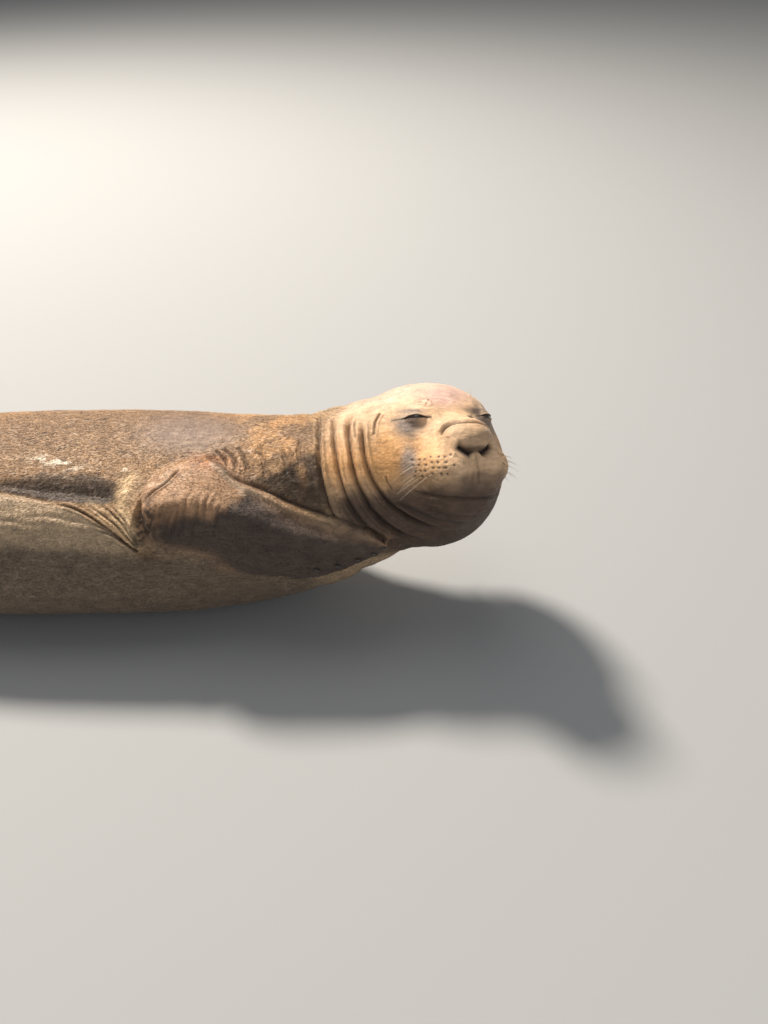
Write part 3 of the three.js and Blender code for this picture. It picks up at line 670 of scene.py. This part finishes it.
    # painted shade in every crease, groove, pit and slit, from how deep it lies
    lay("painted_shade", 0.8 * np.clip(painted_shade, 0, 1.6) ** 1.3 * np.where(painted_shade > 1.2, 1.2, 0.85))
    coarse = ramp(d, -0.05, 0.4) * (1 - hd) * (1 - 0.7 * np.exp(-(sx ** 2 + sy ** 2) ** 1.6) * near)
    speck = ramp(noise(P, (90, 150, 150), 3) + 0.3 * noise(P, 47, 2), 0.40, 0.75)
    lay("umber", 0.60 * speck * (0.25 + 0.75 * coarse) * (1 - 0.75 * hd) * (1 - under * here * 0.6))
    coarse = coarse * (1 - np.clip(masks[:, 6:].sum(1), 0, 1))
    light = ramp(noise(P, (80, 140, 140), 1) + 0.3 * noise(P, 40, 0), 0.42, 0.75)
    lay("scab", 0.32 * light * (0.2 + 0.8 * coarse) * (1 - hd) * (1 - 0.9 * np.clip(masks[:, 6:].sum(1), 0, 1)))
    return np.clip(c, 0, 1)


tint = colours(V, N, MASKS, crease_shade)


def paint(me, c):
    at = me.color_attributes.new("tone", "FLOAT_COLOR", "POINT")
    at.data.foreach_set("color", np.concatenate([c, np.ones((len(c), 1))], 1).astype(np.float32).ravel())


skin_mesh = new_mesh("skin", V, T)
paint(skin_mesh, tint)
skin_mesh.polygons.foreach_set("use_smooth", np.ones(len(T), dtype=bool))
skin = new_object("skin", skin_mesh)


# ------------------------------------------------------------------ materials
def material(name):
    m = bpy.data.materials.new(name)
    m.use_nodes = True
    nt = m.node_tree
    for n in list(nt.nodes):
        nt.nodes.remove(n)
    out = nt.nodes.new("ShaderNodeOutputMaterial")
    sh = nt.nodes.new("ShaderNodeBsdfPrincipled")
    nt.links.new(sh.outputs[0], out.inputs[0])
    return m, nt, sh


def node(nt, kind, **kw):
    n = nt.nodes.new(kind)
    for k, v in kw.items():
        if hasattr(n, k):
            setattr(n, k, v)
        else:
            n.inputs[k.replace("_", " ")].default_value = v
    return n


def math_node(nt, op, a, b=None):
    n = nt.nodes.new("ShaderNodeMath")
    n.operation = op
    for i, x in enumerate((a, b)):
        if x is None:
            continue
        if isinstance(x, (int, float)):
            n.inputs[i].default_value = x
        else:
            nt.links.new(x, n.inputs[i])
    return n.outputs[0]


def coat_material(name, bump=1.0, tuft=False):
    m, nt, sh = material(name)
    L = nt.links.new
    tone = nt.nodes.new("ShaderNodeAttribute")
    tone.attribute_name = "tone"
    pos = nt.nodes.new("ShaderNodeTexCoord")
    stretch = nt.nodes.new("ShaderNodeMapping")
    stretch.inputs["Scale"].default_value = (0.22, 1.0, 1.0)
    L(pos.outputs["Object"], stretch.inputs["Vector"])
    hair = node(nt, "ShaderNodeTexNoise", Scale=620.0, Detail=3.0, Roughness=0.65)
    L(stretch.outputs[0], hair.inputs["Vector"])
    clump = node(nt, "ShaderNodeTexNoise", Scale=120.0, Detail=4.0, Roughness=0.6)
    L(stretch.outputs[0], clump.inputs["Vector"])
    blotch = node(nt, "ShaderNodeTexNoise", Scale=26.0, Detail=5.0, Roughness=0.62)
    L(pos.outputs["Object"], blotch.inputs["Vector"])
    k = math_node(nt, "MULTIPLY_ADD", blotch.outputs["Fac"], 0.9)
    k.node.inputs[2].default_value = 0.55
    k2 = math_node(nt, "MULTIPLY_ADD", clump.outputs["Fac"], 0.9)
    k2.node.inputs[2].default_value = 0.55
    k3 = math_node(nt, "MULTIPLY_ADD", hair.outputs["Fac"], 0.8)
    k3.node.inputs[2].default_value = 0.6
    k = math_node(nt, "MULTIPLY", k, k2)
    k = math_node(nt, "MULTIPLY", k, k3)
    mul = nt.nodes.new("ShaderNodeVectorMath")
    mul.operation = "SCALE"
    L(tone.outputs["Color"], mul.inputs[0])
    L(k, mul.inputs["Scale"])
    L(mul.outputs[0], sh.inputs["Base Color"])
    r = math_node(nt, "MULTIPLY_ADD", clump.outputs["Fac"], -0.25)
    r.node.inputs[2].default_value = 0.68
    L(r, sh.inputs["Roughness"])
    sh.inputs["Specular IOR Level"].default_value = 0.35
    sh.inputs["Sheen Weight"].default_value = 0.12
    sh.inputs["Sheen Roughness"].default_value = 0.45
    if not tuft:
        h = math_node(nt, "ADD", math_node(nt, "MULTIPLY", hair.outputs["Fac"], 0.45), math_node(nt, "MULTIPLY", clump.outputs["Fac"], 0.8))
        b = nt.nodes.new("ShaderNodeBump")
        b.inputs["Strength"].default_value = 0.55
        b.inputs["Distance"].default_value = 0.004 * bump
        L(h, b.inputs["Height"])
        L(b.outputs[0], sh.inputs["Normal"])
    return m


skin_mat = coat_material("coat_skin")
tuft_mat = coat_material("coat_tuft", tuft=True)
skin_mesh.materials.append(skin_mat)
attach(skin, "root")
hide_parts(*FLESH)

# ------------------------------------------------------------------ eyes
m, nt, sh = material("eye_wet")
pos = nt.nodes.new("ShaderNodeTexCoord")
n1 = node(nt, "ShaderNodeTexNoise", Scale=90.0, Detail=3.0)
nt.links.new(pos.outputs["Object"], n1.inputs["Vector"])
cr = nt.nodes.new("ShaderNodeValToRGB")
cr.color_ramp.elements[0].color = (0.006, 0.004, 0.003, 1)
cr.color_ramp.elements[1].color = (0.040, 0.022, 0.012, 1)
nt.links.new(n1.outputs["Fac"], cr.inputs[0])
nt.links.new(cr.outputs[0], sh.inputs["Base Color"])
sh.inputs["Roughness"].default_value = 0.06
sh.inputs["Coat Weight"].default_value = 0.6
sh.inputs["Coat Roughness"].default_value = 0.03
eye_mat = m
for name, (c, R, out, across, above) in eyes.items():
    rows, cols = 28, 40
    v, fcs = [c + out * R], []
    for i in range(1, rows):
        th = math.pi * i / rows
        for j in range(cols):
            ph = 2 * math.pi * j / cols
            v.append(c + R * 0.998 * (out * math.cos(th) + math.sin(th) * (across * math.cos(ph) + above * math.sin(ph))))
    v.append(c - out * R)
    v = np.array(v)
    tri = []
    for j in range(cols):
        tri.append((0, 1 + j, 1 + (j + 1) % cols))
        for i in range(rows - 2):
            a = 1 + i * cols + j
            b = 1 + i * cols + (j + 1) % cols
            tri += [(a, a + cols, b), (b, a + cols, b + cols)]
        a = 1 + (rows - 2) * cols + j
        b = 1 + (rows - 2) * cols + (j + 1) % cols
        tri.append((a, len(v) - 1, b))
    me = new_mesh(name + "_ball", v, np.array(tri))
    me.polygons.foreach_set("use_smooth", np.ones(len(tri), dtype=bool))
    me.materials.append(eye_mat)
    ob = new_object(name + "_ball", me)
    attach(ob, "root")
    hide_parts(name)

# ------------------------------------------------------------------ claws
m, nt, sh = material("claw_horn")
pos = nt.nodes.new("ShaderNodeTexCoord")
n1 = node(nt, "ShaderNodeTexNoise", Scale=300.0, Detail=4.0)
nt.links.new(pos.outputs["Object"], n1.inputs["Vector"])
cr = nt.nodes.new("ShaderNodeValToRGB")
cr.color_ramp.elements[0].color = (0.012, 0.009, 0.007, 1)
cr.color_ramp.elements[1].color = (0.075, 0.058, 0.046, 1)
nt.links.new(n1.outputs["Fac"], cr.inputs[0])
nt.links.new(cr.outputs[0], sh.inputs["Base Color"])
b = nt.nodes.new("ShaderNodeBump")
b.inputs["Strength"].default_value = 0.3
b.inputs["Distance"].default_value = 0.001
nt.links.new(n1.outputs["Fac"], b.inputs["Height"])
nt.links.new(b.outputs[0], sh.inputs["Normal"])
sh.inputs["Roughness"].default_value = 0.38
claw_mat = m
for side in ("right", "left"):
    for i in range(1, 6):
        name = "claw_%s_%d" % (side, i)
        v, t = mesh_arrays(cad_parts[name].data)
        key = np.round(v * 1e5).astype(np.int64)
        _, first, inv = np.unique(key, axis=0, return_index=True, return_inverse=True)
        v, t = v[first], inv.reshape(-1)[t]
        me = new_mesh(name + "_nail", v, t)
        ob = new_object(name + "_nail", me)
        sub = ob.modifiers.new("s", "SUBSURF")
        sub.levels = sub.render_levels = 2
        dg = bpy.context.evaluated_depsgraph_get()
        fine = bpy.data.meshes.new_from_object(ob.evaluated_get(dg))
        bpy.data.objects.remove(ob)
        fine.polygons.foreach_set("use_smooth", np.ones(len(fine.polygons), dtype=bool))
        fine.materials.clear()
        fine.materials.append(claw_mat)
        ob = new_object(name + "_nail", fine)
        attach(ob, "root")
        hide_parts(name)

# ------------------------------------------------------------------ whiskers
def tube(path, r0, r1, sides=5):
    path = np.array(path)
    n = len(path)
    tan = unit(np.gradient(path, axis=0))
    ref = unit(np.cross(tan, np.array([0.31, 0.52, 0.79])))
    oth = unit(np.cross(tan, ref))
    v, t = [], []
    for i in range(n):
        r = r0 + (r1 - r0) * (i / (n - 1)) ** 1.3
        for j in range(sides):
            a = 2 * math.pi * j / sides
            v.append(path[i] + r * (ref[i] * math.cos(a) + oth[i] * math.sin(a)))
    for i in range(n - 1):
        for j in range(sides):
            a, b = i * sides + j, i * sides + (j + 1) % sides
            t += [(a, b, a + sides), (b, b + sides, a + sides)]
    v += [path[0], path[-1]]
    for j in range(sides):
        t += [(len(v) - 2, (j + 1) % sides, j), (len(v) - 1, (n - 1) * sides + j, (n - 1) * sides + (j + 1) % sides)]
    return np.array(v), np.array(t)


wv, wt, wb = [], [], 0
hf, hl, hu = head_coords(V)


def add_whisker(root, out_dir, bend, length, r0):
    global wb
    n = 12
    s = np.linspace(0, 1, n)[:, None]
    path = root - out_dir * 0.003 + out_dir * length * s + bend * length * s ** 2
    v, t = tube(path, r0, 0.00012)
    wv.append(v)
    wt.append(t + wb)
    wb += len(v)


for side in (-1, 1):
    half = np.where((MASKS[:, 0] > 0.5) & (hl * side > 0.004) & (hf > 0.05))[0]
    fx, fy = FOLDED[0][half], FOLDED[1][half]
    for x, y in pits:
        i = half[np.argmin((fx - x) ** 2 + (fy - y) ** 2)]
        long = x < 432
        out_dir = unit(N[i] * 0.45 + side * LEFT * 0.8 - UP * 0.42 + NOSE * 0.12 + rng.normal(0, 0.07, 3))
        bend = unit(-UP * 0.45 - NOSE * 0.75) * 0.26 + rng.normal(0, 0.02, 3)
        add_whisker(V[i], out_dir, bend, rng.uniform(0.045, 0.08) * (1.25 if long and side < 0 else 0.50), 0.00046)
    at = np.where((np.abs(hl - side * 0.062) < 0.012) & (np.abs(hu - 0.165) < 0.012) & (hf > 0.02))[0]
    for k in range(6):
        if len(at):
            i = rng.choice(at)
            out_dir = unit(N[i] + UP * 0.4 + rng.normal(0, 0.2, 3))
            add_whisker(V[i], out_dir, -NOSE * 0.3, rng.uniform(0.012, 0.028), 0.0003)
me = new_mesh("whiskers", np.concatenate(wv), np.concatenate(wt))
me.polygons.foreach_set("use_smooth", np.ones(len(me.polygons), dtype=bool))
m, nt, sh = material("whisker")
pos = nt.nodes.new("ShaderNodeTexCoord")
n1 = node(nt, "ShaderNodeTexNoise", Scale=60.0, Detail=2.0)
nt.links.new(pos.outputs["Object"], n1.inputs["Vector"])
cr = nt.nodes.new("ShaderNodeValToRGB")
cr.color_ramp.elements[0].color = (0.30, 0.22, 0.14, 1)
cr.color_ramp.elements[1].color = (0.78, 0.68, 0.52, 1)
nt.links.new(n1.outputs["Fac"], cr.inputs[0])
nt.links.new(cr.outputs[0], sh.inputs["Base Color"])
sh.inputs["Roughness"].default_value = 0.4
me.materials.append(m)
ob = new_object("whiskers", me)
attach(ob, "root")

# ------------------------------------------------------------------ tufts of the coat
def flow(P, n, masks):
    """Lie of the coat: back from the nose over the head, along the body to the tail, along each flipper to its tip."""
    d = np.tile(np.array([-1.0, 0.0, -0.05]), (len(P), 1))
    tip = HEAD_AT + NOSE * 0.30
    h = masks[:, 0:1]
    away = unit(P - tip)
    d = d * (1 - h) + away * h
    nk = masks[:, 1:2]
    d = d * (1 - nk) + unit(np.array([-0.9, 0.1, -0.45])) * nk
    for k, v in {6: (0.95, -0.05, -0.25), 7: (-0.4, 0.9, -0.15), 8: (-0.97, -0.25, -0.15), 9: (-0.95, 0.3, -0.15)}.items():
        w = masks[:, k:k + 1]
        d = d * (1 - w) + unit(np.array(v)) * w
    d = d + 0.15 * np.stack([noise(P, 9, 0), noise(P, 9, 1), noise(P, 9, 2)], 1)
    d = d - (d * n).sum(1)[:, None] * n
    return unit(d)


def unwrap(P, masks):
    """Where a point lies on a flat plan of the skin: the body unrolled round its length, the head round its
    nose, and each flipper laid out beside them."""
    U = np.empty((len(P), 2))
    ang = np.arctan2(P[:, 1] - (1.93 + OFF[1]), P[:, 2] - 0.26) / (2 * math.pi) + 0.5
    U[:, 0] = 0.01 + 0.58 * np.clip((P[:, 0] + 1.65) / 3.3, 0, 1)
    U[:, 1] = 0.01 + 0.98 * ang
    f, l, u = head_coords(P)
    h = masks[:, 0] > 0.5
    r = np.arccos(np.clip(f / np.maximum(np.sqrt(f * f + l * l + u * u), 1e-6), -1, 1)) / math.pi
    a = np.arctan2(l, u)
    U[h, 0] = 0.80 + 0.185 * (r * np.sin(a))[h]
    U[h, 1] = 0.74 + 0.245 * (r * np.cos(a))[h]
    for j, k in enumerate((6, 7, 8, 9)):
        w = masks[:, k] > 0.5
        if not w.any():
            continue
        lo, hi = (np.array(c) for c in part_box(FLESH[k]))
        q = (P[w] - lo) / (hi - lo)
        U[w, 0] = 0.62 + 0.095 * j + 0.085 * np.clip(q[:, 0] if k != 7 else q[:, 1], 0, 1)
        top = (masks[w, k] > 0) & (q[:, 2] > 0.5)
        U[w, 1] = 0.02 + 0.21 * np.clip(q[:, 1] if k != 7 else q[:, 0], 0, 1) + 0.22 * top
    return np.clip(U, 0.003, 0.997)


area = np.linalg.norm(np.cross(V[T[:, 1]] - V[T[:, 0]], V[T[:, 2]] - V[T[:, 0]]), axis=1) / 2
cen = V[T].mean(1)
cm = MASKS[T[:, 0]]
cf, cl, cu = head_coords(cen)
dens = np.ones(len(T))
tpx, tpy, tz = project(cen)
tn = N[T[:, 0]]
tt = ((CAM - cen) * tn).sum(1) / np.linalg.norm(CAM - cen, axis=1)
dens *= np.where((tt > -0.25) & (tpx > -60), 1.9, 0.75)
dens *= 1 + 0.8 * (cm[:, 0] > 0.5)
dens *= np.where(cm[:, 6:].sum(1) > 0.5, 0.8, 1.0)
dens[cen[:, 2] < 0.004] = 0
bare = np.zeros(len(T), bool)
for name, (c, R, out, across, above) in eyes.items():
    bare |= np.linalg.norm(cen - c, axis=1) < R * 1.35
bare |= (crease_shade[T[:, 0]] > 0.75)
bare |= (cf > 0.235) & (np.abs(cl) < 0.045) & (cu < 0.05) & (cu > -0.02)
dens[bare] = 0
sleek = np.exp(-(((tpx - 190) / 55) ** 2 + ((tpy - 432) / 22) ** 2) ** 1.6) * ramp(tt, -0.1, 0.2)
dens *= 1 - 0.5 * sleek
COUNT = 220000
prob = area * dens
cum = np.cumsum(prob)
pickt = np.searchsorted(cum, rng.uniform(0, cum[-1], COUNT))
pickt = np.clip(pickt, 0, len(T) - 1)
w1, w2 = rng.uniform(0, 1, (2, COUNT))
over = w1 + w2 > 1
w1[over], w2[over] = 1 - w1[over], 1 - w2[over]
w0 = 1 - w1 - w2
tri = T[pickt]


def blendv(A):
    return A[tri[:, 0]] * w0[:, None] + A[tri[:, 1]] * w1[:, None] + A[tri[:, 2]] * w2[:, None]


root, rn, rm = blendv(V), unit(blendv(N)), blendv(MASKS)
# the tufts take the skin's colour, painted shade and highlights included
rc = blendv(tint)
fl = flow(root, rn, rm)
rf, rl, ru = head_coords(root)
length = rng.uniform(0.0062, 0.0100, COUNT)
rd = unit(root - np.stack([root[:, 0], np.full(COUNT, 1.93 + OFF[1]), np.full(COUNT, 0.26)], 1)) @ np.array([0.0, 0.6, 0.8])
coarse = ramp(rd, -0.05, 0.4) * (1 - np.clip(rm[:, 0], 0, 1))
length *= 1 + 0.35 * coarse
length *= 1 - 0.55 * sleek[pickt]
coarse = coarse * (1 - sleek[pickt])
length *= 1 - 0.50 * np.clip(rm[:, 0], 0, 1) * ramp(rf, -0.12, 0.06)
length *= 1 - 0.35 * np.clip(rm[:, 6:].sum(1), 0, 1)
length *= 1 - 0.3 * ramp(rf, 0.16, 0.24) * (rm[:, 0] > 0.5)
fl = unit(fl + 0.09 * rng.normal(0, 1, (COUNT, 3)))
fl = unit(fl - (fl * rn).sum(1)[:, None] * rn)
across_v = np.cross(rn, fl)
lift = np.radians(rng.uniform(5, 14, COUNT) + 8 * coarse)
wid = length * rng.uniform(0.055, 0.085, COUNT) + 0.0002
tip = root + fl * (length * np.cos(lift))[:, None] + rn * (length * np.sin(lift))[:, None]
# Each tuft is a closed spike: a three-cornered root under the skin's surface and one bent tip.
p0 = root + across_v * wid[:, None] - rn * 0.0004
p1 = root - across_v * wid[:, None] - rn * 0.0004
p2 = root + rn * (wid * 0.8)[:, None] + fl * (length * 0.15)[:, None]
ok = np.minimum(tip[:, 2], p1[:, 2]) > 0.0006
uvc = unwrap(root, rm)
shade = (rng.uniform(0.84, 1.2, COUNT) + 0.30 * coarse * rng.normal(0, 1, COUNT))[:, None]
shade = np.clip(shade, 0.45, 1.9)
tc = np.clip(rc * shade, 0, 1)
per = 45000
order = np.arange(COUNT)[ok]
zone = root[order, 0]
order = order[np.argsort(zone, kind="stable")]
parts = np.array_split(order, max(1, math.ceil(len(order) / per)))
for k, ids in enumerate(parts):
    n = len(ids)
    v = np.empty((n, 4, 3))
    v[:, 0], v[:, 1], v[:, 2], v[:, 3] = p0[ids], p1[ids], p2[ids], tip[ids]
    b = np.arange(n)[:, None, None] * 4
    t = (np.array([[0, 2, 3], [2, 1, 3], [1, 0, 3], [0, 1, 2]])[None] + b).reshape(-1, 3)
    me = new_mesh("coat_%d" % (k + 1), v.reshape(-1, 3), t)
    cc = np.repeat(tc[ids][:, None], 4, 1)
    cc[:, 3] *= 1.10
    cc[:, 0:2] *= 0.82
    paint(me, np.clip(cc.reshape(-1, 3), 0, 1))
    uv = me.uv_layers.new(name="OFBake")
    small = np.array([[-0.0013, -0.0011], [0.0013, -0.0011], [0.0, -0.0003], [0.0, 0.0014]])
    puv = uvc[ids][:, None] + small[None]
    li = np.empty(len(me.loops), dtype=np.int32)
    me.loops.foreach_get("vertex_index", li)
    uv.data.foreach_set("uv", puv.reshape(-1, 2)[li].astype(np.float32).ravel())
    me.polygons.foreach_set("use_smooth", np.ones(len(me.polygons), dtype=bool))
    me.materials.append(tuft_mat)
    ob = new_object("coat_%d" % (k + 1), me)
    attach(ob, "root")
print("coat pieces", len(parts), "tufts", len(order))

# ------------------------------------------------------------------ floor and light
floor_mesh = new_mesh("floor", [(-40, -40, 0), (40, -40, 0), (40, 60, 0), (-40, 60, 0)], np.array([[0, 1, 2, 3]]))
m, nt, sh = material("floor_pale")
sh.inputs["Base Color"].default_value = (0.36, 0.36, 0.355, 1)
sh.inputs["Roughness"].default_value = 1.0
sh.inputs["Specular IOR Level"].default_value = 0.0
floor_mesh.materials.append(m)
floor = new_object("floor", floor_mesh)


def area_light(name, at, aim, size, power, colour):
    d = bpy.data.lights.new(name, "AREA")
    d.shape = "DISK"
    d.size = size
    d.energy = power
    d.color = colour
    o = bpy.data.objects.new(name, d)
    o.location = at
    o.rotation_euler = (Vector(aim) - Vector(at)).to_track_quat("-Z", "Y").to_euler()
    scene.collection.objects.link(o)


area_light("key", (-4.2, 5.6, 9.5), (1.0, -0.25, 0.35), 2.2, 2900, (1.0, 0.93, 0.84))
area_light("fill", (4.2, -5.0, 3.4), (1.0, -0.2, 0.3), 4.0, 56, (0.90, 0.94, 1.0))
area_light("top", (0.2, 0.4, 6.0), (0.4, -0.2, 0.2), 4.0, 60, (1.0, 0.98, 0.95))
world = bpy.data.worlds.new("studio")
world.use_nodes = True
world.node_tree.nodes["Background"].inputs[0].default_value = (0.86, 0.89, 0.94, 1)
world.node_tree.nodes["Background"].inputs[1].default_value = 0.30
scene.world = world
scene.view_settings.view_transform = "Standard"
